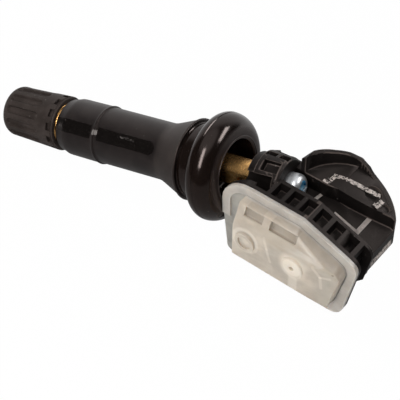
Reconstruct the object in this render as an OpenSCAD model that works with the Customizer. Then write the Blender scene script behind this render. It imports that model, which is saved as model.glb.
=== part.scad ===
// Snap-in tyre pressure sensor: rubber valve with cap and core, screwed to a moulded sensor housing.
// X runs along the housing away from the valve, Y away from the lid, Z up.
// The origin is the middle of the valve's rim seat.

/* [Valve pose] */
// Rise of the valve axis towards the housing, in degrees
valve_tilt = 13; // [10:0.5:15]
// Sideways turn of the valve axis from the housing's length, in degrees
valve_yaw = 6; // [3:0.5:7]

/* [Rubber stem] */
// Length of the groove that snaps into the rim
seat_len = 2.9; // [2:0.1:4]
// Radius of the neck in that groove
neck_r = 6.6; // [6:0.05:6.8]
// Radius of the sharp bead that locks behind the rim
bead_r = 7.2; // [6.9:0.05:7.4]
// Length of the cone from the bead to the straight stem
cone_len = 5.5; // [4:0.1:8]
// Radius of the straight stem
stem_r = 5.05; // [4.95:0.05:5.5]
// Length of the straight stem
stem_len = 22.1; // [20:0.1:26]
// Radius at the tip of the rubber
tip_r = 4.6; // [4.4:0.05:4.9]
// Distance of the moulding ring from the tip
flash_from_tip = 9.1; // [6:0.1:14]
// Radius of the bulb inside the wheel
bulb_r = 9.45; // [9:0.05:9.6]
// Length of the bulb
bulb_len = 5.2; // [4.8:0.1:5.2]
// Rounding of the bulb towards the housing
bulb_round = 3.3; // [3.2:0.1:3.6]
// Radius of the recess round the brass tail
recess_r = 5.5; // [5:0.05:6]
// Depth of that recess
recess_depth = 4.6; // [3:0.1:4.8]

/* [Brass insert] */
// Radius of the cap thread
thread_r = 3.85; // [3.7:0.01:3.9]
// Length of the threaded tip beyond the rubber
thread_len = 9.8; // [9.4:0.1:10.4]
// Radius of the tube inside the rubber
tube_r = 3.3; // [3.1:0.05:3.5]
// Radius of the anchoring collars inside the rubber
collar_r = 4.2; // [3.8:0.05:4.4]
// Radius of the tail that the housing holds
tail_r = 2.45; // [2.3:0.05:2.6]
// Distance of the tail's flat from its axis
tail_flat = 1.95; // [1.85:0.05:2.1]
// Radius of the air bore
air_r = 1.2; // [0.9:0.05:1.3]
// Radius of the cross hole in the flat
air_hole_r = 0.7; // [0.5:0.05:0.9]
// Distance of the cross hole from the rim seat
air_hole_s = 6.9; // [6.4:0.1:7.2]
// Radius of the chamber that the core screws into
core_bore_r = 2.65; // [2.6:0.01:2.7]
// Radius of the chamber past the core's seal
chamber_r = 2.2; // [2.1:0.05:2.3]

/* [Valve core] */
// Radius of the core's threaded plug
plug_r = 2.58; // [2.5:0.01:2.59]
// Length of the plug
plug_len = 3.2; // [2.6:0.1:3.4]
// Radius of the core's barrel
barrel_r = 1.85; // [1.75:0.05:1.95]
// Length of the barrel
barrel_len = 9; // [8:0.1:10]
// Bore of the barrel
barrel_bore_r = 1.4; // [1.3:0.05:1.45]
// Radius of the pin
pin_r = 0.45; // [0.35:0.05:0.5]
// Radius of the spring's wire
wire_r = 0.13; // [0.1:0.01:0.16]
// Turns of the spring
spring_turns = 7; // [5:1:9]

/* [Cap] */
// Outer radius of the cap at its rim
cap_r = 4.97; // [4.85:0.01:5.3]
// Outer radius of the cap at its rounded end
cap_end_r = 4.57; // [4.5:0.01:4.9]
// Length of the cap
cap_len = 12.8; // [12.2:0.1:13.5]
// Rounding of the cap's end
cap_round = 1.5; // [0.8:0.1:1.8]
// Number of grip flutes, and of notches at the rim
flute_count = 12; // [10:1:14]
// Length of a grip flute
flute_len = 6.6; // [5:0.1:7.2]
// Depth of a grip flute
flute_depth = 0.32; // [0.2:0.01:0.4]
// Radius of the cutter that leaves a flute
flute_r = 1.7; // [1.2:0.05:2]
// Clearance between the cap's bore and the thread
thread_gap = 0.08; // [0.05:0.01:0.1]

/* [Housing] */
// Height of the rail top above the rim seat's middle
rail_z = 6.4; // [6.2:0.1:6.6]
// Fall of the housing's outer half, in degrees
fall_angle = 21; // [18:0.5:23]
// Where the fall starts along the housing
fall_x = 22.3; // [21.8:0.1:22.8]
// Left edge of the lid side
left_x = 6.2; // [6:0.1:6.4]
// Left end of the housing behind the lid
block_x = 8.7; // [8.5:0.1:9]
// Right edge of the lid side
right_x = 33.4; // [33:0.1:33.8]
// Right end of the housing behind the rail
end_x = 32; // [31.8:0.1:32.2]
// Plane of the joint between lid and housing
lid_plane_y = -4.8; // [-4.9:0.05:-4.7]
// Lowest edge of the housing, at the lid
low_z = -11.8; // [-12.2:0.1:-11.6]
// Slope of the underside, in degrees
under_angle = 32; // [30:0.5:33]
// Middle of the round outer side, along and across the housing
round_x = 24.3; // [24:0.1:24.6]
round_y = 2.3; // [2.1:0.1:2.5]
// Radius of the round outer side
round_r = 9.4; // [9.1:0.1:9.6]
// Wall thickness
wall = 1.3; // [1.2:0.05:1.4]
// Thickness of the two rails
rail_t = 0.7; // [0.6:0.05:0.8]
// Width between the rails
band_w = 3; // [2.8:0.1:3.1]
// Depth of the cells between the rails
cell_depth = 1.8; // [1.5:0.1:1.9]
// Thickness of the ribs between the cells
rib_t = 0.75; // [0.6:0.05:0.9]
// Distance between ribs
rib_pitch = 2.75; // [2.65:0.05:2.8]
// Place of the first rib
first_rib_x = 14.6; // [14.4:0.1:14.8]
// Depth of the printed channel below the rails
channel_depth = 4.4; // [4.2:0.1:4.5]
// Far side of the channel at its narrow end
channel_y = 4.25; // [4.2:0.05:4.4]
// Far side of the channel at its wide end
channel_wide_y = 7.4; // [6.8:0.1:7.6]
// Step of the shoulder below the rails
shoulder_depth = 1.4; // [1.2:0.1:1.5]
// Height of the curved fin above the shoulder
fin_h = 3.4; // [2.8:0.1:3.6]
// Thickness of the fin
fin_t = 0.8; // [0.6:0.05:1]

/* [Cradle] */
// Where the cradle begins along the valve axis
cradle_s = 9.3; // [9.2:0.1:9.6]
// Length of the cradle
cradle_len = 6.1; // [5.7:0.1:6.3]
// Radius of the cradle's first ring
cradle_r = 4.4; // [4.3:0.05:4.5]
// Radius of the cradle's ridge
ridge_r = 4.95; // [4.8:0.05:5.1]
// Radius of the cradle's end
cradle_end_r = 4.65; // [4.4:0.05:4.75]
// Thickness of the wall that the screw bears on
bear_t = 1.9; // [1.6:0.1:2.1]
// Radius of the pockets' floor in the cradle
pocket_floor_r = 3.5; // [3.4:0.05:3.7]

/* [Clamp screw] */
// Radius of the screw's shank
shank_r = 1.35; // [1.2:0.05:1.4]
// Length of the shank
shank_len = 5.8; // [5.2:0.1:6]
// Radius of the screw's head
head_r = 2.3; // [2.1:0.05:2.35]
// Height of the head
head_h = 2.7; // [2.2:0.05:2.8]
// Outer radius of the six-lobed drive recess
drive_r = 1.25; // [1.1:0.05:1.4]
// Depth of the drive recess
drive_depth = 1.2; // [1:0.05:1.5]

/* [Lid] */
// Thickness of the lid's plate
plate_t = 0.4; // [0.35:0.05:0.5]
// Height of the raised lip round the plate
lip_t = 0.35; // [0.3:0.05:0.45]
// Width of the lip
lip_w = 1.6; // [1.4:0.1:1.7]
// Thickness of the raised block's walls
lid_wall = 1; // [0.9:0.05:1.05]
// Depth of the block at its upper edge, in front of the joint plane
upper_depth = 2.4; // [2.3:0.05:2.6]
// Depth of the block at its full face
face_depth = 4.4; // [4.3:0.05:4.6]
// Depth of the block at its right end
end_depth = 2.9; // [2.7:0.05:3.1]
// Radius of the pressure port
port_r = 0.45; // [0.3:0.05:0.6]

/* [Electronics] */
// Radius of the coin cell
cell_r = 6.25; // [6:0.05:6.35]
// Thickness of the coin cell
cell_t = 2.5; // [2.3:0.05:2.55]
// Thickness of the circuit board
board_t = 0.8; // [0.7:0.05:0.9]
// Side of the sensor chip
chip_w = 5.3; // [4.8:0.1:5.4]
// Height of the sensor chip
chip_h = 1.5; // [1.3:0.05:1.6]
// Length and width of the wake-up coil
coil_l = 7; // [6:0.1:8]
coil_w = 1.5; // [1.2:0.1:1.6]

/* [Hidden] */
$fn = 64;
eps = 0.01;
fit_gap = 0.05;
bond_gap = 0.02;
far = 60;

// Places in the housing
plus_tab_x = 24;
plus_tab_len = 7;
plus_tab_z = -8.2;
minus_tab_x = 18;
minus_tab_len = 5.5;
minus_tab_z = -5.4;
crystal_z = -4.2;
coil_x = 14.2;
coil_flange_t = 0.9;
antenna_gap = 0.2;
chip_hole_r = 0.5;
gasket_hole_r = 0.8;
gasket_gap = 0.15;

// Seat of the valve core
seat_depth = 7;
seat_cone_h = 0.8;
seal_land_h = 0.7;

bead_s = -seat_len;
cone_s = bead_s - cone_len;
tip_s = cone_s - stem_len;
thread_s = tip_s - thread_len;
cradle_end = cradle_s + cradle_len;
tail_end = cradle_end - bear_t;
rail_y = lid_plane_y + 2 * rail_t + band_w;
slope_y = lid_plane_y + rail_t;
fall = tan(fall_angle);
rise = tan(under_angle);

// Points of an arc about [x, y]
function arc(x, y, r, from, to, steps = 8) =
    [for (i = [0 : steps]) let (a = from + (to - from) * i / steps) [x + r * cos(a), y + r * sin(a)]];

// One rounded corner b between a and c
function corner(a, b, c, r, steps = 6) =
    let (u = (a - b) / norm(a - b), v = (c - b) / norm(c - b))
    let (half = acos(u * v) / 2, m = (u + v) / norm(u + v))
    let (o = b + m * r / sin(half), p = b + u * r / tan(half) - o, q = b + v * r / tan(half) - o)
    let (from = atan2(p.y, p.x), turn = atan2(q.y, q.x) - from)
    let (sweep = turn > 180 ? turn - 360 : turn < -180 ? turn + 360 : turn)
    arc(o.x, o.y, r, from, from + sweep, steps);

// Outline through [x, y, corner radius] points
function rounded(points) =
    let (n = len(points), flat = [for (p = points) [p.x, p.y]])
    [for (i = [0 : n - 1]) each corner(flat[(i + n - 1) % n], flat[i], flat[(i + 1) % n], points[i][2])];

// Height of a surface that follows the rails, a step below them
function rail_height(x, step) = rail_z - step - max(0, x - fall_x) * fall;

// Height of the sloping underside at y, or a step above it
function under_height(y, step = 0) = low_z + (y - slope_y) * rise + step / cos(under_angle);

// Places the valve axis: children are drawn along Z, with Y towards the far side and X down
module on_valve_axis() {
    rotate([0, -valve_tilt, valve_yaw]) rotate([0, 90, 0]) children();
}

module along_y(from, to) {
    translate([0, to, 0]) rotate([90, 0, 0]) linear_extrude(to - from) children();
}

module along_x(from, to) {
    translate([from, 0, 0]) rotate([90, 0, 90]) linear_extrude(to - from) children();
}

// A round bar from one station to another
module bar(r, from, to) {
    translate([0, 0, from]) cylinder(r = r, h = to - from);
}

module ring(outer, inner, from, to) {
    difference() {
        bar(outer, from, to);
        bar(inner, from - 1, to + 1);
    }
}

/* Valve cap */
cap_rim_s = tip_s - 0.3;
cap_end_s = cap_rim_s - cap_len;
cap_top_t = 1.6;
seal_t = 1.05;
notch_len = 0.8;
notch_w = 1.2;
lip_len = 0.4;

// Cutter for one grip flute: a bar that follows the cap's taper, with round ends
module flute(angle) {
    start = cap_end_s + cap_round + 0.1 + flute_r / 2;
    taper = atan2(cap_r - cap_end_r, cap_len - cap_round - lip_len);
    rotate([0, 0, angle]) translate([cap_end_r + flute_r - flute_depth, 0, start]) rotate([0, taper, 0]) {
        bar(flute_r, 0, flute_len - flute_r);
        for (end = [0, flute_len - flute_r]) translate([0, 0, end]) sphere(r = flute_r);
    }
}

module valve_cap() {
    body = concat([[0, cap_end_s]], arc(cap_end_r - cap_round, cap_end_s + cap_round, cap_round, -90, 0),
        [[cap_r, cap_rim_s - lip_len], [cap_r - 0.15, cap_rim_s], [0, cap_rim_s]]);
    color([0.2, 0.18, 0.17]) on_valve_axis() difference() {
        rotate_extrude() polygon(body);
        bar(thread_r + thread_gap, cap_end_s + cap_top_t, cap_rim_s + 1);
        for (i = [0 : flute_count - 1]) {
            flute((i + 0.5) * 360 / flute_count);
            rotate([0, 0, i * 360 / flute_count])
                translate([cap_r - 0.4, -notch_w / 2, cap_rim_s - lip_len - notch_len - 0.1])
                cube([1, notch_w, notch_len]);
        }
    }
}

module cap_seal() {
    from = cap_end_s + cap_top_t + fit_gap;
    color([0.12, 0.12, 0.12]) on_valve_axis()
        ring(thread_r - 0.05, 1.3, from, thread_s - fit_gap);
}

/* Brass insert */
seat_cone_s = thread_s + seat_depth;
chamber_end = thread_s + 19;

// Half section of the insert's outside, grown by a gap
function insert_profile(gap) = [
    [0, thread_s], [thread_r - 0.35, thread_s], [thread_r, thread_s + 0.4], [thread_r, tip_s - 0.6],
    [tube_r + gap, tip_s - 0.3], [tube_r + gap, tip_s + 3], [collar_r - 0.3 + gap, tip_s + 3.3],
    [collar_r - 0.3 + gap, tip_s + 4.2], [tube_r + gap, tip_s + 4.5], [tube_r + gap, cone_s + 2.5],
    [collar_r + gap, cone_s + 3.2], [collar_r + gap, bead_s], [tail_r + 0.5 + gap, bead_s + 1],
    [tail_r + gap, bead_s + 1.6], [tail_r + gap, tail_end], [0, tail_end]];

module brass_insert() {
    color([0.72, 0.56, 0.3]) on_valve_axis() difference() {
        rotate_extrude() polygon(insert_profile(0));
        bar(core_bore_r, thread_s - 1, seat_cone_s);
        translate([0, 0, seat_cone_s - eps])
            cylinder(r1 = core_bore_r, r2 = chamber_r, h = seat_cone_h + eps);
        bar(chamber_r, seat_cone_s, chamber_end);
        bar(air_r, chamber_end - 1, air_hole_s + air_r);
        bar(shank_r + fit_gap, head_s - shank_len - 0.3, tail_end + 1);
        translate([0, 0, air_hole_s]) rotate([90, 0, 0]) cylinder(r = air_hole_r, h = far);
        translate([-far / 2, -tail_flat - 5, recess_bottom_s + 0.6]) cube([far, 5, far]);
    }
}

/* Rubber stem */
recess_bottom_s = bulb_len - recess_depth;
flash_r = stem_r + 0.25;
bulb_back_r = 1.85;

module rubber_stem() {
    outside = concat(
        [[0, tip_s], [tip_r - 0.35, tip_s], [tip_r, tip_s + 0.35]],
        [[stem_r + 0.08, tip_s + 4.2], [stem_r + 0.12, tip_s + flash_from_tip - 0.3]],
        [[flash_r, tip_s + flash_from_tip - 0.1]],
        [[flash_r, tip_s + flash_from_tip + 0.1], [stem_r, tip_s + flash_from_tip + 0.3]],
        [[stem_r, cone_s], [bead_r - 0.2, bead_s - 0.45]],
        arc(bead_r - 0.3, bead_s - 0.3, 0.3, 60, 0, 3),
        [[bead_r, bead_s], [neck_r - 0.1, bead_s], [neck_r, bead_s + 0.3], [neck_r, 0]],
        arc(bulb_r - bulb_back_r, bulb_back_r, bulb_back_r, -65, 0, 6),
        arc(bulb_r - bulb_round, bulb_len - bulb_round, bulb_round, 0, 90, 10),
        [[0, bulb_len]]);
    color([0.13, 0.12, 0.12]) on_valve_axis() difference() {
        rotate_extrude() polygon(outside);
        rotate_extrude() polygon(insert_profile(bond_gap));
        bar(recess_r, recess_bottom_s, bulb_len + 1);
        translate([0, 0, bulb_len - 0.5]) cylinder(r1 = recess_r - eps, r2 = recess_r + 0.5, h = 0.5 + eps);
    }
}

/* Valve core */
plug_s = thread_s + 1.8;
barrel_s = plug_s + plug_len + fit_gap;
barrel_end = barrel_s + barrel_len;
key_w = 2.6;
pin_top_s = thread_s - 0.25;
pin_collar_s = barrel_s + 0.35;
pin_collar_t = 0.5;
pin_collar_r = barrel_bore_r - 0.12;
barrel_floor_t = 1;
poppet_seal_t = 0.6;
poppet_t = 0.7;
poppet_r = 1.75;
pin_gap = 0.07;

module core_plug() {
    color([0.78, 0.66, 0.4]) on_valve_axis() difference() {
        union() {
            bar(plug_r, plug_s, plug_s + plug_len);
            intersection() {
                bar(plug_r - 0.1, thread_s + 0.5, plug_s + eps);
                translate([-far / 2, -key_w / 2, thread_s]) cube([far, key_w, 5]);
            }
        }
        bar(pin_r + pin_gap, thread_s - 1, plug_s + plug_len + 1);
        for (side = [-1, 1]) translate([side * 1.45, 0, 0]) bar(0.45, thread_s - 1, plug_s + plug_len + 1);
    }
}

module core_barrel() {
    color([0.75, 0.6, 0.35]) on_valve_axis() difference() {
        bar(barrel_r, barrel_s, barrel_end);
        bar(barrel_bore_r, barrel_s - 1, barrel_end - barrel_floor_t);
        bar(pin_r + 0.3, barrel_s, barrel_end + 1);
    }
}

module core_seal() {
    color([0.85, 0.2, 0.15]) on_valve_axis() difference() {
        union() {
            bar(core_bore_r - fit_gap, seat_cone_s - seal_land_h, seat_cone_s);
            translate([0, 0, seat_cone_s])
                cylinder(r1 = core_bore_r - fit_gap, r2 = chamber_r - fit_gap, h = seat_cone_h);
        }
        bar(barrel_r + bond_gap, thread_s, barrel_end);
    }
}

module core_pin() {
    color([0.8, 0.7, 0.45]) on_valve_axis() {
        bar(pin_r, pin_top_s, barrel_end + poppet_seal_t + poppet_t + 0.4);
        bar(pin_collar_r, pin_collar_s, pin_collar_s + pin_collar_t);
    }
}

module core_poppet() {
    from = barrel_end + fit_gap + poppet_seal_t + bond_gap;
    color([0.75, 0.6, 0.35]) on_valve_axis()
        ring(poppet_r, pin_r + bond_gap, from, from + poppet_t);
}

module poppet_seal() {
    from = barrel_end + fit_gap;
    color([0.1, 0.1, 0.1]) on_valve_axis()
        ring(poppet_r - 0.1, pin_r + bond_gap, from, from + poppet_seal_t);
}

// Coil swept along a helix as one closed tube
module core_spring() {
    from = pin_collar_s + pin_collar_t + fit_gap + wire_r;
    to = barrel_end - barrel_floor_t - fit_gap - wire_r;
    coil_r = (pin_r + barrel_bore_r) / 2;
    sides = 6;
    steps = spring_turns * 12;
    points = [for (i = [0 : steps], k = [0 : sides - 1])
        let (a = i * 30, b = k * 360 / sides, r = coil_r + wire_r * cos(b))
        [r * cos(a), r * sin(a), from + (to - from) * i / steps + wire_r * sin(b)]];
    skin = [for (i = [0 : steps - 1], k = [0 : sides - 1])
        [i * sides + k, (i + 1) * sides + k, (i + 1) * sides + (k + 1) % sides, i * sides + (k + 1) % sides]];
    ends = [[for (k = [0 : sides - 1]) k], [for (k = [sides - 1 : -1 : 0]) steps * sides + k]];
    color([0.7, 0.7, 0.72]) on_valve_axis() polyhedron(points, concat(ends, skin));
}

/* Housing */
block_y = 5.9;
head_s = cradle_end - 0.2;
floor_fall_angle = fall_angle - 2.5;
cell_x = 22.4;
cell_seat_u = 2;
tab_t = 0.15;
tab_w = 3;
slot_gap = 0.1;
slot_t = cell_t + 2 * (tab_t + 2 * bond_gap);
bay_depth = 2.2;
bay_inset = cell_depth + wall;
right_lean = 2.5;
end_low_z = -4.6;
end_angle = 50;
channel_x = 14.3;

// Outline of the housing seen from the lid side, moved in by a step
function body_outline(step) =
    let (top = rail_z - step, right = right_x - step, shift = step * tan(fall_angle / 2))
    rounded([[left_x + step, top, max(5.4 - step, 1)], [fall_x - shift, top, 2],
        [right, top - (right - fall_x + shift) * fall, 2.3],
        [right - right_lean, low_z + step, 2.8], [left_x + 1.3 + step, low_z + step, 1.2],
        [left_x + 0.3 + step, -2.5, 6]]);

// Region of the side view above a surface that lies a step below the rails and falls from the same place
module above(step, from_x, angle) {
    polygon([[from_x, rail_z - step], [fall_x, rail_z - step], [far, rail_z - step - (far - fall_x) * tan(angle)],
        [far, far], [from_x, far]]);
}

// Seen from above: the lid side, the block round the cradle and the round outer side
module plan() {
    translate([left_x - 1, lid_plane_y]) square([far, rail_t]);
    translate([block_x, lid_plane_y]) square([far, rail_y - lid_plane_y]);
    intersection() {
        union() {
            translate([round_x, round_y]) circle(r = round_r);
            translate([block_x, lid_plane_y]) square([round_x - block_x, block_y - lid_plane_y]);
        }
        translate([0, lid_plane_y]) square([end_x, far]);
    }
}

// Everything under the sloping bottom
module below_slope() {
    along_x(-1, far) polygon([[slope_y, low_z - eps], [slope_y, -far], [far, -far], [far, under_height(far) - eps]]);
}

// Places a flat piece on the sloping bottom: X along the housing, Y up the slope, Z off it
module on_slope(x, u, n) {
    translate([x, slope_y, low_z]) rotate([under_angle, 0, 0]) translate([0, u, n]) children();
}

// Round slot for the coin cell, open towards the lid
module cell_slot() {
    r = cell_r + slot_gap;
    mouth_w = 2 * r - 0.3;
    on_slope(cell_x, cell_seat_u + cell_r, wall) linear_extrude(slot_t) {
        circle(r = r);
        translate([-mouth_w / 2, -cell_r * 3]) square([mouth_w, cell_r * 3]);
    }
}

// Room behind the circuit board
module front_bay() {
    back_y = lid_plane_y + bay_depth;
    along_y(lid_plane_y - 1, back_y) intersection() {
        polygon(body_outline(bay_inset));
        translate([lid_left_x + lid_wall, under_height(back_y, wall)]) square([far, far]);
    }
}

// Everything under a slanted cut that leaves the right end at a height
module below_end(from_y, z) {
    along_y(from_y, far) polygon([[end_x + 5, z + 5 * tan(end_angle)], [end_x - 20, z - 20 * tan(end_angle)],
        [far, z - 20 * tan(end_angle)]]);
}

// The right end stops higher behind the rails than between them
module end_cut() {
    below_end(slope_y + 0.3, end_low_z - 1);
    below_end(rail_y - rail_t + 0.1, end_low_z);
}

// Cells between the two rails, and the groove that goes on round the end
module band_cells() {
    difference() {
        along_y(lid_plane_y + rail_t, rail_y - rail_t) difference() {
            translate([first_rib_x - rib_pitch, low_z - 1]) square([far, far]);
            polygon(body_outline(cell_depth));
        }
        for (i = [0 : 6])
            translate([first_rib_x + i * rib_pitch - rib_t / 2, lid_plane_y, rail_height(far / 2, cell_depth)])
            cube([rib_t, far, far]);
    }
}

module channel() {
    difference() {
        along_y(rail_y, far) above(shoulder_depth, -1, fall_angle);
        fin_zone();
    }
    intersection() {
        along_y(rail_y, far) above(channel_depth, channel_x, floor_fall_angle);
        translate([0, 0, -far / 2]) linear_extrude(far * 2)
            polygon([[channel_x, rail_y - 1], [far, rail_y - 1], [far, channel_wide_y],
                for (i = [8 : -1 : 0]) [fall_x - 2.3 + i * 1.4, channel_y + (channel_wide_y - channel_y) * pow(i / 8, 1.4)],
                [channel_x, channel_y]]);
    }
}

// Side view of the curved fin, which stands on the shoulder and runs out into it
module fin_profile() {
    top = rail_z - shoulder_depth + fin_h;
    run_out_x = fall_x + 4.3;
    polygon([[0, 0], [0, top - 0.6], [fall_x - 7.1, top - 0.6], [fall_x - 6.3, top], [fall_x - 4, top - 0.8],
        [fall_x - 1.9, top - 1.1], [fall_x + 0.1, top - 1.8], [fall_x + 1.5, top - 2.9], [fall_x + 2.5, top - 4],
        [run_out_x, rail_height(run_out_x, shoulder_depth) - 0.5], [run_out_x, 0]]);
}

// What the cut above the shoulder leaves for the fin
module fin_zone() {
    intersection() {
        translate([round_x, round_y, -1]) ring(round_r - fit_gap, round_r - fin_t, 0, far);
        along_y(round_y + 0.8, far) fin_profile();
    }
}

module cradle() {
    ridge_s = cradle_s + 1.5;
    on_valve_axis() rotate_extrude() polygon([[0, cradle_s], [cradle_r, cradle_s], [cradle_r, ridge_s - 0.2],
        [ridge_r, ridge_s], [cradle_end_r, cradle_end - 0.4], [cradle_end_r - 0.4, cradle_end], [0, cradle_end]]);
}

// A pocket in the cradle between two stations, at an angle from its top towards the far side
module cradle_pocket(angle, width, from, to) {
    on_valve_axis() rotate([0, 0, -angle]) translate([-ridge_r - 1, -width / 2, from])
        cube([ridge_r + 1 - pocket_floor_r, width, to - from]);
}

// Bore for the tail, with its flat, and the way in for the screw
module tail_bore() {
    on_valve_axis() {
        difference() {
            bar(tail_r + fit_gap, cradle_s - 4, tail_end + fit_gap);
            translate([-far / 2, -tail_flat - fit_gap - 5, cradle_s - 5]) cube([far, 5, far]);
        }
        bar(shank_r + 0.1, tail_end - 1, cradle_end + 1);
        bar(head_r + 0.1, head_s, head_s + head_h + 0.6);
    }
}

// A round recess in the shoulder, square to its fall
module shoulder_recess(x, y, r, depth) {
    translate([x, y, rail_height(x, shoulder_depth)]) rotate([0, fall_angle, 0])
        translate([0, 0, -depth]) cylinder(r = r, h = depth + 1);
}

module housing_shell() {
    difference() {
        intersection() {
            union() {
                along_y(lid_plane_y, far) polygon(body_outline(0));
                along_y(rail_y, far) fin_profile();
            }
            translate([0, 0, -far / 2]) linear_extrude(far) plan();
        }
        band_cells();
        channel();
    }
    cradle();
}

module housing() {
    color([0.17, 0.15, 0.14]) difference() {
        housing_shell();
        below_slope();
        end_cut();
        cradle_pocket(-15.5, 2.1, cradle_s + 2.4, cradle_end - 0.6);
        cradle_pocket(-51.5, 2.4, cradle_s - 0.2, cradle_end - 1.1);
        cradle_pocket(19.5, 1.25, cradle_s + 1.7, cradle_s + 3.6);
        cradle_pocket(19.5, 1.25, cradle_s + 4.2, cradle_end - 0.2);
        cradle_pocket(54, 2.4, cradle_s + 2, cradle_end - 1.1);
        tail_bore();
        front_bay();
        cell_slot();
        shoulder_recess(29.7, 8, 0.75, 0.5);
        shoulder_recess(26.8, 8.5, 1.5, 0.4);
    }
}

/* Lid */
block_inset = 1.7;
lid_left_x = 11.2;
ramp_x = 25.5;
plate_y = lid_plane_y - plate_t;
lip_y = plate_y - lip_t;
face_y = lid_plane_y - face_depth;
upper_y = lid_plane_y - upper_depth;
end_y = lid_plane_y - end_depth;
face_low_z = -6.4;
face_high_z = -1.8;
knee_z = 0.9;
knee_y = face_y + 0.3;
boss_x = 13.9;
boss_z = -1.7;
port_x = 23.3;
port_z = -1.3;
tower_len = 0.4;
tower_r = 1.8;
membrane_r = 1.1;
membrane_t = 0.2;
lip_gap_z = -2.7;

// Section of the raised block across the housing, moved in by a wall
module block_section(step) {
    top = rail_z - block_inset - step;
    foot = low_z + 0.5 + step;
    polygon([[lid_plane_y + 1, top], [upper_y + step, top], [knee_y + step, knee_z], [face_y + step, face_high_z],
        [face_y + step, face_low_z + step * 0.3], [plate_y - 0.3 + step * 0.4, foot], [lid_plane_y + 1, foot]]);
}

// The block's front seen from above, falling back to the right
module block_plan(step) {
    polygon([[lid_left_x + step, 0], [lid_left_x + step, face_y + step], [ramp_x, face_y + step],
        [right_x - block_inset, end_y + step], [far, end_y + step], [far, 0]]);
}

module block_form(step) {
    intersection() {
        along_y(face_y - 1, lid_plane_y) polygon(body_outline(block_inset + step));
        along_x(0, far) block_section(step);
        translate([0, 0, -far / 2]) linear_extrude(far) block_plan(step);
    }
}

first_window_x = 12.6;
second_window_x = 17.6;
window_h = 1.7;
window_drop = 0.25;
window_depth = 0.3;

// Two shallow windows side by side in the slanted upper face
module windows() {
    slant = atan2(upper_y - knee_y, rail_z - block_inset - knee_z);
    translate([0, upper_y, rail_z - block_inset]) rotate([-slant, 0, 0]) {
        translate([first_window_x, -window_depth, -window_drop - window_h]) cube([3.6, 1, window_h]);
        translate([second_window_x, -window_depth, -window_drop - window_h]) cube([5.3, 1, window_h]);
    }
}

// A round bar along Y from one place to another
module peg(x, z, r, from, to) {
    along_y(from, to) translate([x, z]) circle(r = r);
}

module lid() {
    inside_y = face_y + lid_wall;
    color([0.78, 0.75, 0.7]) difference() {
        union() {
            along_y(plate_y, lid_plane_y) polygon(body_outline(0));
            along_y(lip_y, plate_y + eps) difference() {
                polygon(body_outline(0));
                polygon(body_outline(lip_w));
                translate([left_x - 1, low_z - 1]) square([ramp_x - left_x, lip_gap_z - low_z + 1]);
            }
            block_form(0);
            peg(boss_x, boss_z, 1.9, face_y - 0.35, face_y + 0.5);
            peg(port_x, port_z, 2.1, face_y - 0.2, face_y + 0.5);
        }
        difference() {
            union() {
                block_form(lid_wall);
                along_y(board_front - fit_gap, lid_plane_y + 1) board_shape(0);
            }
            peg(port_x, port_z, tower_r, face_y, inside_y + tower_len);
        }
        windows();
        peg(boss_x, boss_z, 1.3, face_y - 1, face_y);
        peg(port_x, port_z, port_r, face_y - 1, 0);
        peg(port_x, port_z, membrane_r + fit_gap, inside_y + tower_len - membrane_t - bond_gap, 0);
    }
}

/* Clamp screw */
head_dome_r = 1.2;
lobe_r = 0.3;

module drive(depth, shrink) {
    translate([0, 0, head_s + head_h - depth]) linear_extrude(depth + 1) {
        circle(r = drive_r - lobe_r - shrink);
        for (i = [0 : 5]) rotate(i * 60) translate([drive_r - lobe_r, 0]) circle(r = lobe_r - shrink);
    }
}

module clamp_screw() {
    head = concat([[0, head_s], [head_r - 0.15, head_s], [head_r, head_s + 0.3]],
        arc(head_r - head_dome_r, head_s + head_h - head_dome_r, head_dome_r, 5, 65, 6),
        [[head_r - 1, head_s + head_h], [0, head_s + head_h]]);
    color([0.75, 0.77, 0.78]) on_valve_axis() difference() {
        union() {
            rotate_extrude() polygon(head);
            bar(shank_r, head_s - shank_len, head_s + eps);
        }
        drive(drive_depth, 0);
    }
}

module screw_paint() {
    color([0.16, 0.42, 0.58]) on_valve_axis() intersection() {
        drive(drive_depth - bond_gap, bond_gap);
        bar(head_r, head_s, head_s + head_h - 0.35);
    }
}

/* Electronics */
board_front = lid_plane_y - board_t;
board_gap = 0.15;
chip_front = board_front - chip_h;
gasket_end = face_y + lid_wall + tower_len;
small_parts_x = 13.4;
crystal_size = [3.2, 0.8, 2.5];
capacitor_size = [0.8, 0.6, 1.6];
capacitor_pitch = 1.6;
antenna_t = 0.3;
antenna_w = 0.45;
antenna_low_z = -1.5;

// Point of the cross section at u up the sloping bottom and n off it
function slope_point(u, n) = [slope_y + u * cos(under_angle) - n * sin(under_angle),
    low_z + u * sin(under_angle) + n * cos(under_angle)];

module board_shape(step) {
    intersection() {
        polygon(body_outline(block_inset + lid_wall + step));
        translate([lid_left_x + lid_wall + step, low_z]) square([far, far]);
    }
}

module circuit_board() {
    color([0.1, 0.35, 0.2]) along_y(board_front, lid_plane_y) board_shape(board_gap);
}

module coin_cell() {
    color([0.75, 0.76, 0.78])
        on_slope(cell_x, cell_seat_u + cell_r, wall + tab_t + 2 * bond_gap) {
            cylinder(r = cell_r, h = cell_t - 0.5);
            cylinder(r = cell_r - 0.9, h = cell_t);
        }
}

// A strip that lies on the coin cell at n and stands up against the board
module cell_tab(x, n, reach, top_z) {
    start = (lid_plane_y - slope_point(0, n).x + tab_t) / cos(under_angle);
    foot = slope_point(start, n);
    color([0.82, 0.82, 0.8]) along_x(x, x + tab_w) {
        polygon([foot, slope_point(start + reach, n), slope_point(start + reach, n + tab_t),
            slope_point(start, n + tab_t)]);
        translate([lid_plane_y, foot.y]) square([tab_t, top_z - foot.y]);
    }
}

module cell_tab_plus() {
    cell_tab(plus_tab_x, wall + bond_gap, plus_tab_len, plus_tab_z);
}

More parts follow.
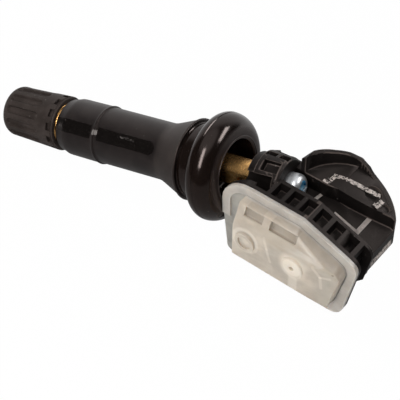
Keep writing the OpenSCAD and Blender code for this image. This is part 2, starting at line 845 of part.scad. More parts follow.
module cell_tab_minus() {
    cell_tab(minus_tab_x, wall + tab_t + cell_t + 3 * bond_gap, minus_tab_len, minus_tab_z);
}

module sensor_chip() {
    color([0.1, 0.1, 0.11]) along_y(chip_front, board_front) translate([port_x, port_z]) difference() {
        square(chip_w, center = true);
        circle(r = chip_hole_r);
    }
}

module port_gasket() {
    color([0.3, 0.3, 0.32]) along_y(gasket_end, chip_front) translate([port_x, port_z]) difference() {
        circle(r = tower_r - gasket_gap);
        circle(r = gasket_hole_r);
    }
}

module port_membrane() {
    color([0.92, 0.92, 0.9]) peg(port_x, port_z, membrane_r, gasket_end - membrane_t, gasket_end - bond_gap);
}

module crystal() {
    color([0.7, 0.7, 0.72]) translate([small_parts_x, lid_plane_y, crystal_z]) cube(crystal_size);
}

module wake_coil() {
    color([0.45, 0.25, 0.12]) translate([coil_x, lid_plane_y, 0]) {
        for (x = [0, coil_l - coil_flange_t]) translate([x, 0, 0]) cube([coil_flange_t, coil_w, coil_w]);
        translate([coil_flange_t / 2, coil_w / 2, coil_w / 2]) rotate([0, 90, 0])
            cylinder(r = coil_w / 2 - 2 * fit_gap, h = coil_l - coil_flange_t);
    }
}

// Strip on the board that follows its upper edge
module loop_antenna() {
    color([0.8, 0.8, 0.78]) along_y(board_front - antenna_w, board_front) difference() {
        board_shape(board_gap + antenna_gap);
        board_shape(board_gap + antenna_gap + antenna_t);
        translate([0, low_z - 1]) square([far, antenna_low_z - low_z + 1]);
    }
}

module chip_capacitors() {
    color([0.6, 0.5, 0.38]) for (i = [0 : 3])
        translate([small_parts_x + i * capacitor_pitch, board_front - capacitor_size.y, -6.4]) cube(capacitor_size);
}

valve_cap();
cap_seal();
rubber_stem();
brass_insert();
core_plug();
core_barrel();
core_seal();
core_pin();
core_poppet();
poppet_seal();
core_spring();
housing();
lid();
clamp_screw();
screw_paint();
circuit_board();
coin_cell();
cell_tab_plus();
cell_tab_minus();
sensor_chip();
crystal();
wake_coil();
loop_antenna();
chip_capacitors();
port_gasket();
port_membrane();
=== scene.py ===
import math

import bmesh
import bpy
import numpy as np
from mathutils import Matrix, Vector
from mathutils.bvhtree import BVHTree
from mathutils.kdtree import KDTree


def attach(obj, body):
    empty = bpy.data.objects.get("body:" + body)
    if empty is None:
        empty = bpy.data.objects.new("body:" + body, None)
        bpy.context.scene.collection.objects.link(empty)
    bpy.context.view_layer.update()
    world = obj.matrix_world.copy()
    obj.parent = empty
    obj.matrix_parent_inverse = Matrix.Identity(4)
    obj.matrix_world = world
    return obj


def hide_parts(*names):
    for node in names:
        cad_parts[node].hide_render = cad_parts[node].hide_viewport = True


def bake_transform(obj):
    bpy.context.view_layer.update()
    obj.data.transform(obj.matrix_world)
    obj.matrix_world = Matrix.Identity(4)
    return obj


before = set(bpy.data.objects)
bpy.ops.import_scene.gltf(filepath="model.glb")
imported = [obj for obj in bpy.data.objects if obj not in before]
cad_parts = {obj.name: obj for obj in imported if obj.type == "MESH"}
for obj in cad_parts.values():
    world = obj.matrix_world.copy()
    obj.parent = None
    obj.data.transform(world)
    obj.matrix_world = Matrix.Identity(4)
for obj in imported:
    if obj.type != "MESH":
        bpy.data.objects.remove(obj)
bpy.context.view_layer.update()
mm = 0.001

cameraSetup = {
    "place": (104.08, -136.56, 188.06),  # mm, in the part's own frame
    "right": (0.7880, 0.6157, 0.0),
    "up": (-0.4646, 0.5947, 0.6561),
    "lens": 135.0,
}


def addCamera(setup):
    data = bpy.data.cameras.new("camera")
    data.lens = setup["lens"]
    data.sensor_width = 36
    data.clip_start = 0.01
    camera = bpy.data.objects.new("camera", data)
    right = Vector(setup["right"]).normalized()
    up = Vector(setup["up"]).normalized()
    turn = Matrix((right, up, right.cross(up))).transposed().to_4x4()
    camera.matrix_world = Matrix.Translation(Vector(setup["place"]) * mm) @ turn
    bpy.context.scene.collection.objects.link(camera)
    bpy.context.scene.camera = camera


addCamera(cameraSetup)
print("camera set")


def tint(code):  # a colour written as it looks on screen, turned linear
    parts = [int(code[i:i + 2], 16) / 255 for i in (0, 2, 4)]
    return tuple(c / 12.92 if c <= 0.04045 else ((c + 0.055) / 1.055) ** 2.4 for c in parts) + (1.0,)


class Wire:  # an output socket; arithmetic on it adds Math nodes
    def __init__(self, tree, socket=None):
        self.tree = tree
        self.socket = socket

    def node(self, kind, settings, sockets, out=0):
        made = self.tree.nodes.new(kind)
        for name, value in settings.items():
            setattr(made, name, value)
        for name, value in sockets.items():
            if isinstance(value, Wire):
                self.tree.links.new(value.socket, made.inputs[name])
            else:
                made.inputs[name].default_value = value
        return Wire(self.tree, made.outputs[out])

    def math(self, operation, *values):
        return self.node("ShaderNodeMath", {"operation": operation}, dict(enumerate(values)))

    def __add__(self, other):
        return self.math("ADD", self, other)

    def __sub__(self, other):
        return self.math("SUBTRACT", self, other)

    def __rsub__(self, other):
        return self.math("SUBTRACT", other, self)

    def __mul__(self, other):
        return self.math("MULTIPLY", self, other)

    def __truediv__(self, other):
        return self.math("DIVIDE", self, other)

    def __rtruediv__(self, other):
        return self.math("DIVIDE", other, self)

    def __neg__(self):
        return self.math("MULTIPLY", self, -1.0)

    __radd__ = __add__
    __rmul__ = __mul__

    def absolute(self):
        return self.math("ABSOLUTE", self)

    def atLeast(self, limit):
        return self.math("MAXIMUM", self, limit)

    def above(self, limit):  # 1 or 0
        return self.math("GREATER_THAN", self, limit)

    def below(self, limit):  # 1 or 0
        return self.math("LESS_THAN", self, limit)

    def fraction(self):
        return self.math("FLOORED_MODULO", self, 1.0)

    def angleFrom(self, other):  # in radians
        return self.math("ARCTAN2", self, other)

    def diagonal(self, other):  # length of the straight line that these two sides span
        squares = self * self + other * other
        return squares.math("SQRT", squares)

    def clamp(self):
        return self.node("ShaderNodeClamp", {}, {"Value": self})

    def step(self, low, high):  # 0 at low, 1 at high, smooth between
        return self.node("ShaderNodeMapRange", {"interpolation_type": "SMOOTHSTEP"},
                         {"Value": self, "From Min": low, "From Max": high})

    def around(self, middle, near, off):  # 1 as close to the middle as near, 0 further off than off
        return 1 - (self - middle).absolute().step(near, off)

    def noise(self, size, detail=3.0, rough=0.55, stretch=(1, 1, 1)):  # size in mm
        where = self.node("ShaderNodeVectorMath", {"operation": "MULTIPLY"}, {0: self, 1: stretch})
        return self.node("ShaderNodeTexNoise", {}, {"Vector": where, "Scale": 1 / size, "Detail": detail,
                                                   "Roughness": rough})

    def cells(self, size):
        return self.node("ShaderNodeTexVoronoi", {"feature": "F1"}, {"Vector": self, "Scale": 1 / size})

    def blend(self, first, second):  # colours, by this mask
        return self.node("ShaderNodeMix", {"data_type": "RGBA"}, {0: self, 6: first, 7: second}, out=2)

    def axes(self):
        split = self.tree.nodes.new("ShaderNodeSeparateXYZ")
        self.tree.links.new(self.socket, split.inputs[0])
        return [Wire(self.tree, output) for output in split.outputs]


valve = {"yaw": 6, "tilt": 13}  # degrees
valveTurn = Matrix.Rotation(math.radians(valve["yaw"]), 3, "Z") \
    @ Matrix.Rotation(math.radians(-valve["tilt"]), 3, "Y") \
    @ Matrix.Rotation(math.radians(90), 3, "Y")  # local X down, Y to the far side, Z along the valve


def startFinish(name):  # material and its Object coordinates in mm
    mat = bpy.data.materials.new(name)
    mat.use_nodes = True
    mat.node_tree.nodes.clear()
    first = Wire(mat.node_tree)
    raw = first.node("ShaderNodeTexCoord", {}, {}, out="Object")
    return mat, raw.node("ShaderNodeMapping", {}, {"Vector": raw, "Scale": (1000, 1000, 1000)})


def onValve(place):  # the same coordinates along the valve axis
    return place.node("ShaderNodeMapping", {"vector_type": "TEXTURE"},
                      {"Vector": place, "Rotation": tuple(valveTurn.to_euler())})


def closeFinish(mat, place, colour, rough, height, depth, others):  # depth of the bumps in mm
    bump = place.node("ShaderNodeBump", {}, {"Height": height, "Distance": depth * mm, "Strength": 1.0})
    sockets = {"Base Color": colour, "Roughness": rough, "Normal": bump, **others}
    shader = place.node("ShaderNodeBsdfPrincipled", {}, sockets)
    output = mat.node_tree.nodes.new("ShaderNodeOutputMaterial")
    mat.node_tree.links.new(shader.socket, output.inputs["Surface"])
    return mat


def ballMask(place, spot, radius, ragged):  # 1 inside an uneven ball about a spot, mm
    off = place.node("ShaderNodeVectorMath", {"operation": "DISTANCE"}, {0: place, 1: spot}, out="Value")
    return 1 - (off + (place.noise(0.5, 3) - 0.5) * ragged).step(radius - 0.05, radius + 0.05)


def strokeMask(x, z, ends, half):  # 1 on a straight stroke between two places
    (ax, az), (bx, bz) = ends
    length = math.hypot(bx - ax, bz - az)
    ux, uz = (bx - ax) / length, (bz - az) / length
    along = (x - ax) * ux + (z - az) * uz
    across = (x - ax) * uz - (z - az) * ux
    return 1 - across.diagonal((along - length).atLeast(-along).atLeast(0.0)).step(half, half * 2.2)


marks = {"edge": "5d534e", "dust": "8a8480"}  # colours of rubbed edges, which also stand in as a painted highlight along them, and of dust on a moulding


def moulded(name, look):  # plastic or rubber with mottle, fine grain, specks of dust, rubbed places and, where asked, edges painted lighter as wear and as a painted highlight
    mat, place = startFinish(name)
    broad = place.noise(look["patch"], 3)
    fine = place.noise(look["grain"], 4, 0.65)
    tone = (broad * 0.65 + fine * 0.35).step(0.34, 0.66)
    colour = tone.blend(tint(look["dark"]), tint(look["light"]))
    rubbed = place.noise(look["patch"] * 0.6, 5, 0.7).step(0.6, 0.75)
    dust = 1 - place.cells(look.get("dustSize", 1.6)).step(0.05, 0.09)
    colour = (rubbed * look.get("wear", 0.2)).blend(colour, tint(look["worn"]))
    # edges painted lighter: partly rubbed wear, partly a painted highlight where the edges catch the light
    if look.get("edges"):
        edge = place.node("ShaderNodeAttribute", {"attribute_name": "wornEdgeAndHighlight"}, {}, out="Fac")
        colour = (edge * (0.3 + broad * 0.7) * look["edges"]).clamp().blend(colour, tint(marks["edge"]))
    colour = (dust * look.get("dust", 0.25)).blend(colour, tint(marks["dust"]))
    rough = look["rough"] + (fine - 0.5) * look.get("roughSpread", 0.15) - rubbed * 0.06
    height = fine + place.noise(look["grain"] * 3.5, 2) * 0.6
    return closeFinish(mat, place, colour, rough, height, look.get("depth", 0.02), {
        "Specular IOR Level": look.get("specular", 0.5), "Specular Tint": look.get("sheen", (1, 1, 1, 1))})


def metalled(name, look):  # bare or plated metal with tool marks along or round an axis
    mat, place = startFinish(name)
    broad = place.noise(look["patch"], 4)
    axes = onValve(place) if look.get("turned") else place
    grooves = axes.noise(look["grain"], 2, 0.5, look.get("stretch", (1, 1, 1)))
    stain = broad.step(0.45, 0.75)
    colour = (stain * look.get("stainAmount", 0.5)).blend(tint(look["light"]), tint(look["dark"]))
    rough = look["rough"] + (grooves - 0.5) * look.get("roughSpread", 0.2) + stain * 0.1
    return closeFinish(mat, place, colour, rough, grooves + broad * 0.3, look.get("depth", 0.01),
                       {"Metallic": look.get("metal", 1.0)})


def linked(name, mesh):  # an object of its own for the mesh
    piece = bpy.data.objects.new(name, mesh)
    bpy.context.scene.collection.objects.link(piece)
    return piece


def addMesh(name, points, faces, turn=None, smooth=35):
    mesh = bpy.data.meshes.new(name)
    where = [Vector(p) * mm for p in points]
    if turn is not None:
        where = [turn @ p for p in where]
    mesh.from_pydata([tuple(p) for p in where], [], faces)
    form = bmesh.new()
    form.from_mesh(mesh)
    bmesh.ops.remove_doubles(form, verts=form.verts, dist=1e-7)
    bmesh.ops.dissolve_degenerate(form, edges=form.edges, dist=1e-8)
    bmesh.ops.recalc_face_normals(form, faces=form.faces)
    form.to_mesh(mesh)
    form.free()
    mesh.shade_smooth()
    mesh.set_sharp_from_angle(angle=math.radians(smooth))
    return linked(name, mesh)


def latheForm(rows, turns):  # rows of (s, r) turned round the valve axis, angles counted from the top
    points, faces = [], []
    count = len(turns)
    for s, r in rows:
        for a in turns:
            points.append((-r * math.cos(a), r * math.sin(a), s))
    for i in range(len(rows) - 1):
        for k in range(count):
            n = (k + 1) % count
            faces.append((i * count + k, i * count + n, (i + 1) * count + n, (i + 1) * count + k))
    return points, faces


def bow(cs, cr, radius, start, end, steps):  # arc rows: angle 0 points outwards, 90 towards larger s
    out = []
    for i in range(steps + 1):
        a = math.radians(start + (end - start) * i / steps)
        out.append((cs + radius * math.sin(a), cr + radius * math.cos(a)))
    return out


def span(first, last, steps):
    return [(first[0] + (last[0] - first[0]) * i / steps, first[1] + (last[1] - first[1]) * i / steps)
            for i in range(steps + 1)]


rounding = {
    "merge": 3e-6, "shortest": 2e-6,  # metres
    "flat": 0.8,  # degrees between faces that count as one
    "room": 0.36,  # share of the shortest edge nearby that a rounding may take
    "astray": 0.55, "turned": -0.05,  # widths off the CAD surface, and cosine against it, of a face gone astray
    "tries": 6, "strip": 0.9,  # tries, and the widest new strip in widths
}


def strayFaces(mesh, tree, width):  # faces that left the CAD surface or turned over
    stray = []
    for face in mesh.polygons:
        _, normal, _, gap = tree.find_nearest(face.center)
        over = face.normal.dot(normal) < rounding["turned"] and face.area > 1e-10
        if gap > rounding["astray"] * width or over:
            stray.append(face)
    return stray


def cutOff(form, spot, outwards, close=True):  # takes off what lies beyond a plane, and closes the form again
    bmesh.ops.bisect_plane(form, geom=form.verts[:] + form.edges[:] + form.faces[:], dist=1e-7,
                           plane_co=Vector(spot) * mm, plane_no=Vector(outwards), clear_outer=True)
    if close:
        bmesh.ops.holes_fill(form, edges=[edge for edge in form.edges if edge.is_boundary], sides=0)


def markStrips(piece, width):  # the new strips along the edges, for the edges that the finish paints lighter: rubbed wear and a painted highlight
    strips = []
    for face in piece.data.polygons:
        ring = [piece.data.vertices[v].co for v in face.vertices]
        longest = max((a - b).length for a, b in zip(ring, ring[1:] + ring[:1]))
        strips.append(1.0 if face.area / longest < width * mm * rounding["strip"] else 0.0)
    piece.data.attributes.new("wornEdgeAndHighlight", "FLOAT", "FACE").data.foreach_set("value", strips)


def softened(node, name, width, corner=32, segments=2, cut=None):  # copy of a CAD node, merged, edges rounded
    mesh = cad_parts[node].data.copy()
    mesh.name = name
    form = bmesh.new()
    form.from_mesh(mesh)
    bmesh.ops.remove_doubles(form, verts=form.verts, dist=rounding["merge"])
    bmesh.ops.dissolve_degenerate(form, edges=form.edges, dist=rounding["shortest"])
    flat = math.radians(rounding["flat"])
    bmesh.ops.dissolve_limit(form, angle_limit=flat, verts=form.verts, edges=form.edges)
    if cut:
        cutOff(form, *cut)
    form.normal_update()
    tree = BVHTree.FromBMesh(form)
    ends = KDTree(len(form.verts))
    for vert in form.verts:
        ends.insert(vert.co, vert.index)
    ends.balance()
    weight = form.edges.layers.float.new("bevel_weight_edge")
    for edge in form.edges:
        if len(edge.link_faces) == 2 and edge.calc_face_angle(0) > math.radians(corner):
            room = min(other.calc_length() for end in edge.verts for other in end.link_edges)
            edge[weight] = min(1.0, rounding["room"] * room / (width * mm))
    piece = linked(name, mesh)
    bevel = piece.modifiers.new("edge", "BEVEL")
    bevel.width = width * mm
    bevel.segments = segments
    bevel.limit_method = "WEIGHT"
    bevel.use_clamp_overlap = False
    for attempt in range(rounding["tries"]):  # edges whose rounding goes astray keep their sharp form
        form.to_mesh(mesh)
        piece.data.update()
        ready = piece.evaluated_get(bpy.context.evaluated_depsgraph_get())
        shape = ready.to_mesh()
        stray = strayFaces(shape, tree, width * mm)
        blamed = {ends.find(shape.vertices[v].co)[1] for face in stray for v in face.vertices}
        ready.to_mesh_clear()
        form.verts.ensure_lookup_table()
        left = [edge for v in blamed for edge in form.verts[v].link_edges if edge[weight] > 0]
        if not left:
            break
        for edge in left:
            edge[weight] = 0.0
    print(name, "rounding:", attempt + 1, "tries,", len(stray), "stray faces left")
    form.free()
    plain(piece, corner)
    markStrips(piece, width)
    return piece


def plain(piece, smooth=35):  # modifiers turned into the mesh itself
    ready = piece.evaluated_get(bpy.context.evaluated_depsgraph_get())
    mesh = bpy.data.meshes.new_from_object(ready)
    piece.modifiers.clear()
    piece.data = mesh
    mesh.shade_smooth()
    mesh.set_sharp_from_angle(angle=math.radians(smooth))
    return piece


def startTree(name, sizes):  # a geometry nodes tree with a named input for each size and for the finish
    tree = bpy.data.node_groups.new(name, "GeometryNodeTree")
    tree.interface.new_socket("Geometry", in_out="OUTPUT", socket_type="NodeSocketGeometry")
    tree.interface.new_socket("Geometry", in_out="INPUT", socket_type="NodeSocketGeometry")
    tree.interface.new_socket("finish", in_out="INPUT", socket_type="NodeSocketMaterial")
    for size in sizes:
        tree.interface.new_socket(size, in_out="INPUT", socket_type="NodeSocketFloat")
    given = tree.nodes.new("NodeGroupInput")
    wires = {socket.name: Wire(tree, socket) for socket in given.outputs if socket.name}
    where = wires["Geometry"].node("GeometryNodeInputPosition", {}, {})
    return tree, wires, where.node("ShaderNodeVectorMath", {"operation": "SCALE"}, {0: where, "Scale": 1 / mm})


def closeTree(tree, given, place, dip):  # every point moves towards the axis by its dip, in mm
    flat = place.node("ShaderNodeVectorMath", {"operation": "MULTIPLY"}, {0: place, 1: (1, 1, 0)})
    outwards = flat.node("ShaderNodeVectorMath", {"operation": "NORMALIZE"}, {0: flat})
    offset = outwards.node("ShaderNodeVectorMath", {"operation": "SCALE"}, {0: outwards, "Scale": dip * -mm})
    shaped = place.node("GeometryNodeSetPosition", {}, {"Geometry": given["Geometry"], "Offset": offset})
    single = shaped.node("GeometryNodeRealizeInstances", {}, {"Geometry": shaped})
    dressed = single.node("GeometryNodeSetMaterial", {}, {"Geometry": single, "Material": given["finish"]})
    tree.links.new(dressed.socket, tree.nodes.new("NodeGroupOutput").inputs[0])
    return tree


def shapedBy(piece, tree, sizes, finish, smooth):  # the piece as the tree makes it
    modifier = piece.modifiers.new(tree.name, "NODES")
    modifier.node_group = tree
    for item in tree.interface.items_tree:
        if item.in_out == "INPUT" and item.name == "finish":
            modifier[item.identifier] = finish
        elif item.in_out == "INPUT" and item.name in sizes:
            modifier[item.identifier] = float(sizes[item.name])
    plain(piece, smooth)
    piece.data.transform(valveTurn.to_4x4())
    return piece


def dress(piece, mat):
    piece.data.materials.clear()
    piece.data.materials.append(mat)


def placePiece(piece, body, slot, mat, *nodes):
    dress(piece, mat)
    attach(piece, body)
    if nodes:
        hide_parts(*nodes)


cap = {
    "endS": -43.6, "rimS": -31.1, "endR": 4.57, "rimR": 4.97, "endRound": 1.7, "boreR": 3.93, "boreEnd": -42.0,
    "lipLen": 0.42, "flutes": 12, "fluteFrom": -42.0, "fluteTo": -34.9, "fluteHalf": 0.7, "fluteDepth": 0.46,
    "fluteSoft": 0.1, "notchFrom": -32.5, "notchTo": -31.56, "notchHalf": 0.72, "notchDepth": 0.5,
    "fluteR": 4.8, "notchR": 4.9,  # radii at which the widths of flutes and notches count
    "perFlute": 30,  # columns of faces
}
capPlastic = moulded("capPlastic", {
    "dark": "251f1c", "light": "352e2b", "worn": "4a4340", "patch": 2.6, "grain": 0.09, "rough": 0.62,
    "roughSpread": 0.2, "depth": 0.03, "wear": 0.35, "dust": 0.3, "specular": 0.3,
    "sheen": (1, 0.86, 0.8, 1)})


def capTree():  # flutes along the side and small notches near the rim, the same all round
    wanted = [key for key in cap if key.startswith(("flute", "notch", "bore"))]
    tree, given, place = startTree("capFlutes", wanted)
    x, y, along = place.axes()
    pitch = 2 * math.pi / given["flutes"]
    turn = (y.angleFrom(-x) / pitch).fraction() - 0.5
    side = turn * pitch * given["fluteR"]
    low = given["fluteFrom"] + given["fluteHalf"]
    high = given["fluteTo"] - given["fluteHalf"]
    reach = side.diagonal((low - along).atLeast(along - high).atLeast(0.0))
    edge = reach.step(given["fluteHalf"] - given["fluteSoft"], given["fluteHalf"] + given["fluteSoft"])
    flute = (1 - edge) * given["fluteDepth"]
    off = (turn.absolute() - 0.5).absolute() * pitch * given["notchR"]
    onNotch = off.below(given["notchHalf"]) * along.above(given["notchFrom"]) * along.below(given["notchTo"])
    bore = x.diagonal(y).below(given["boreR"] + 0.3) * along.above(given["boreEnd"] - 0.1)  # keeps its form
    return closeTree(tree, given, place, (flute + onNotch * given["notchDepth"]) * (1 - bore))


def makeCap():
    endS, rimS, rimR, boreR = cap["endS"], cap["rimS"], cap["rimR"], cap["boreR"]
    sideS = endS + cap["endRound"]
    lipS = rimS - cap["lipLen"]
    rows = [(endS, 0.0)] + span((endS, 0.6), (endS + 0.06, cap["endR"] - cap["endRound"]), 5)
    rows += bow(sideS, cap["endR"] - cap["endRound"], cap["endRound"], -87, -3, 14)
    stations = list(np.arange(sideS + 0.1, cap["fluteTo"] + 0.3, 0.13))  # close together along the flutes
    stations += list(np.arange(cap["fluteTo"] + 0.5, cap["notchFrom"] - 0.2, 0.5))
    for at in (cap["notchFrom"], cap["notchTo"]):
        stations += [at - 0.03, at - 0.005, at + 0.005, at + 0.03]
    stations += [cap["notchTo"] + 0.04, lipS]
    for s in sorted(stations):
        rows.append((s, cap["endR"] + (rimR - cap["endR"]) * (s - sideS) / (lipS - sideS)))
    rows += [(lipS + 0.03, rimR - 0.1), (lipS + 0.08, rimR - 0.12)]
    rows += bow(rimS - 0.12, rimR - 0.26, 0.12, 10, 90, 4)
    rows += [(rimS, boreR + 0.25), (rimS - 0.25, boreR)]
    rows += span((rimS - 0.6, boreR), (cap["boreEnd"], boreR), 6) + [(cap["boreEnd"], 0.0)]
    pitch = 2 * math.pi / cap["flutes"]
    half = cap["notchHalf"] / cap["notchR"] / pitch
    local = list(np.linspace(0, 1, cap["perFlute"], endpoint=False))
    for edge in (half, 1 - half):
        local += [edge - 0.004, edge + 0.004]
    turns = [(i + t) * pitch for i in range(cap["flutes"]) for t in sorted(local)]
    points, faces = latheForm(rows, turns)
    return shapedBy(addMesh("capShell", points, faces), capTree(), cap, capPlastic, 38)


capShell = makeCap()
print("cap:", len(capShell.data.polygons), "faces")

stem = {
    "tipS": -30.5, "tipR": 4.7, "stemR": 5.05, "coneS": -8.4, "beadS": -2.9, "beadR": 7.2, "neckR": 6.6,
    "flashS": -21.9, "flashR": 5.3, "bulbR": 9.45, "bulbLen": 5.2, "bulbRound": 3.3, "backR": 1.85,
    "recessR": 5.5, "recessS": 0.6, "boreR": 3.32, "barbR": 3.92, "collarR": 4.22, "tailR": 2.48,
    "turns": 192,
}


def makeStem():
    tip, tipR, stemR, cone = stem["tipS"], stem["tipR"], stem["stemR"], stem["coneS"]
    flash, flashR, bead, beadR = stem["flashS"], stem["flashR"], stem["beadS"], stem["beadR"]
    bulbR, bulbLen, bulbRound, backR = stem["bulbR"], stem["bulbLen"], stem["bulbRound"], stem["backR"]
    recessR, recessS, boreR, barbR = stem["recessR"], stem["recessS"], stem["boreR"], stem["barbR"]
    neckR, tailR, collarR = stem["neckR"], stem["tailR"], stem["collarR"]
    rows = [(tip, boreR + 0.04)] + bow(tip + 0.4, tipR - 0.4, 0.4, -90, 0, 6)
    rows += span((tip + 0.6, tipR + 0.04), (tip + 1.9, stemR + 0.06), 6)  # shoulder behind the cap
    rows += span((tip + 2.4, stemR + 0.08), (flash - 0.32, stemR + 0.12), 14)
    rows += [(flash - 0.22, stemR + 0.14), (flash - 0.12, flashR - 0.02), (flash, flashR),  # flash ring
             (flash + 0.12, flashR - 0.03), (flash + 0.22, stemR + 0.03), (flash + 0.32, stemR)]
    rows += span((flash + 0.6, stemR), (cone - 0.9, stemR), 24)
    rows += [(cone - 0.4, stemR + 0.02), (cone, stemR + 0.08), (cone + 0.45, stemR + 0.2)]
    rise = (beadR - 0.2 - stemR) / (bead - 0.45 - cone)
    rows += span((cone + 0.9, stemR + 0.9 * rise), (bead - 0.5, beadR - 0.22), 10)
    rows += bow(bead - 0.28, beadR - 0.27, 0.27, -60, 85, 8)
    rows += [(bead + 0.02, neckR - 0.02), (bead + 0.12, neckR - 0.12), (bead + 0.3, neckR - 0.1),
             (bead + 0.6, neckR)]
    rows += span((bead + 0.9, neckR), (-0.3, neckR), 4)
    rows += [(-0.1, neckR + 0.03), (0.02, neckR + 0.14), (0.06, neckR + 0.3)]
    rows += bow(backR, bulbR - backR, backR, -75, 0, 12)
    middle = bulbLen - bulbRound
    rows += [(middle + 0.1, bulbR), (middle + 0.2, bulbR - 0.12), (middle + 0.3, bulbR - 0.13),
             (middle + 0.42, bulbR - 0.02)]  # parting groove of the mould
    rows += bow(middle, bulbR - bulbRound, bulbRound, 9, 90, 26)
    rows += bow(bulbLen, recessR + 0.48, 0.14, 0, 180, 8)  # fine lip round the recess
    rows += bow(bulbLen - 0.3, recessR + 0.3, 0.3, 90, 180, 6)
    rows += span((bulbLen - 0.7, recessR), (recessS + 0.4, recessR), 8)
    rows += [(recessS + 0.1, recessR - 0.12), (recessS, recessR - 0.4)]
    rows += span((recessS, 4.8), (recessS, 2.6), 4)
    rows += [(recessS - 0.1, tailR), (-1.28, tailR - 0.01), (-1.9, 2.97), (bead, collarR), (-5.2, collarR),
             (-5.9, boreR), (tip + 4.5, boreR), (tip + 4.2, barbR), (tip + 3.3, barbR), (tip + 3.0, boreR),
             (tip, boreR)]  # inside, round the insert
    turns = [2 * math.pi * i / stem["turns"] for i in range(stem["turns"])]
    points, faces = latheForm(rows + [rows[0]], turns)
    return addMesh("stemRubber", points, faces, valveTurn, 40)


rubberLook = {
    "mmPerDegree": 0.089,  # round the stem
    "stripAngle": -46, "stripEnd": -10.1, "stripHalf": 1.1, "stripGap": -21.8,  # shinier strip along the stem, its near-black colour a painted reflection of the dark room
    "streak": ((-3.55, -16.6), (-3.6, -13.3)), "streakHalf": 0.12,  # mm round the stem, and along it
    "nick": (-3.72, -3.72, -21.6), "nickR": 0.6,
    "dark": "131010", "light": "1f1b1a", "coneDark": "211c1a", "coneLight": "2c2623", "glossy": "120b08",
    "stripReflectionDark": "0b0908", "stripReflectionLight": "2c2725", "smear": "8a8582", "face": "3a3230", "streakTint": "7d7875",
    "nickTint": "7b7673", "dust": "7d7774", "sheen": (1, 0.83, 0.78, 1), "specular": 0.36, "depth": 0.012,
}


def rubberFinish(look):  # satin stem, glossy bulb and neck, one shinier strip along the stem painted near-black as a reflection of the dark room
    mat, place = startFinish("stemRubber")
    down, far, along = onValve(place).axes()
    angle = far.angleFrom(-down) * (180 / math.pi)
    broad = place.noise(3.0, 3)
    fine = place.noise(0.1, 4, 0.65)
    tone = (broad * 0.7 + fine * 0.3).step(0.34, 0.66)
    gloss = along.step(-3.1, -2.8)  # from the bead on
    cone = along.step(-9.0, -8.0) * (1 - gloss)
    offStrip = (angle - look["stripAngle"]).absolute() * look["mmPerDegree"]
    reach = offStrip.diagonal((along - look["stripEnd"]).atLeast(0.0))
    gap = (along - look["stripGap"]).absolute().step(0.45, 0.85)
    uneven = reach + (place.noise(0.5, 4, 0.7) - 0.5) * 0.35
    strip = (1 - uneven.step(look["stripHalf"], look["stripHalf"] + 0.2)) * along.step(-30.6, -30.4) * gap
    colour = tone.blend(tint(look["dark"]), tint(look["light"]))
    colour = (cone * 0.8).blend(colour, tone.blend(tint(look["coneDark"]), tint(look["coneLight"])))
    colour = (gloss * 0.85).blend(colour, tint(look["glossy"]))
    # the strip's speckled near-black colour is a painted reflection of the dark room; its lower roughness is
    # real
    speckle = place.noise(0.22, 4, 0.75).step(0.5, 0.72)
    paintedStripReflection = (speckle * 0.5).blend(tint(look["stripReflectionDark"]), tint(look["stripReflectionLight"]))
    colour = (strip * 0.9).blend(colour, paintedStripReflection)
    smear = place.noise(0.9, 4, 0.7).step(0.62, 0.78) * along.around(-16.5, 3, 6)
    colour = (strip * smear * 0.35).blend(colour, tint(look["smear"]))
    face = along.step(4.72, 5.05)  # end of the bulb, finely roughened
    colour = (face * (0.3 + fine * 0.7) * 0.7).clamp().blend(colour, tint(look["face"]))
    streak = strokeMask(angle * look["mmPerDegree"], along, look["streak"], look["streakHalf"])
    streak = streak * place.noise(0.35, 4, 0.7).step(0.45, 0.7) * 0.45
    colour = streak.blend(colour, tint(look["streakTint"]))
    nick = ballMask(onValve(place), look["nick"], look["nickR"], 1.1)
    colour = (nick * 0.75).blend(colour, tint(look["nickTint"]))
    dust = 1 - place.cells(1.5).step(0.04, 0.07)
    colour = (dust * 0.4).blend(colour, tint(look["dust"]))
    rough = 0.4 + (fine - 0.5) * 0.16 + cone * 0.08 - gloss * 0.25
    rough = rough - strip * (0.22 - speckle * 0.14) + face * 0.16
    height = fine * (1 - gloss * 0.8 + face * 1.4) * (1 - strip * 0.8) + broad * 0.4
    return closeFinish(mat, place, colour, rough, height, look["depth"],
                       {"Specular IOR Level": look["specular"], "Specular Tint": look["sheen"]})


stemRubber = makeStem()
rubberSatin = rubberFinish(rubberLook)
print("stem:", len(stemRubber.data.polygons), "faces")

thread = {
    "tipS": -40.3, "cutS": -30.62,  # the CAD insert is cut off there
    "outerR": 3.84, "boreR": 2.65, "depth": 0.32, "pitch": 0.7937, "lead": 0.5, "steps": 150, "turns": 72,
}
brassTurned = metalled("brassTurned", {
    "dark": "6a421c", "light": "f6c07a", "patch": 3.0, "grain": 0.16, "rough": 0.24, "turned": True,
    "stretch": (0.25, 0.25, 5), "depth": 0.006, "stainAmount": 0.7, "metal": 0.9})


def threadTree():  # one ridge that winds round the tip, with a tapered start
    tree, given, place = startTree("rolledThread", ("tipS", "pitch", "depth", "lead", "boreR"))
    x, y, along = place.axes()
    fromTip = along - given["tipS"]
    wave = (fromTip / given["pitch"] - y.angleFrom(-x) / (2 * math.pi)).fraction() * 2 - 1
    groove = ((1 - wave.absolute()) * 1.25 - 0.12).clamp() * given["depth"]
    taper = (1 - (fromTip / given["lead"]).clamp()) * 0.3
    return closeTree(tree, given, place, (groove + taper) * x.diagonal(y).above(given["boreR"] + 0.5))


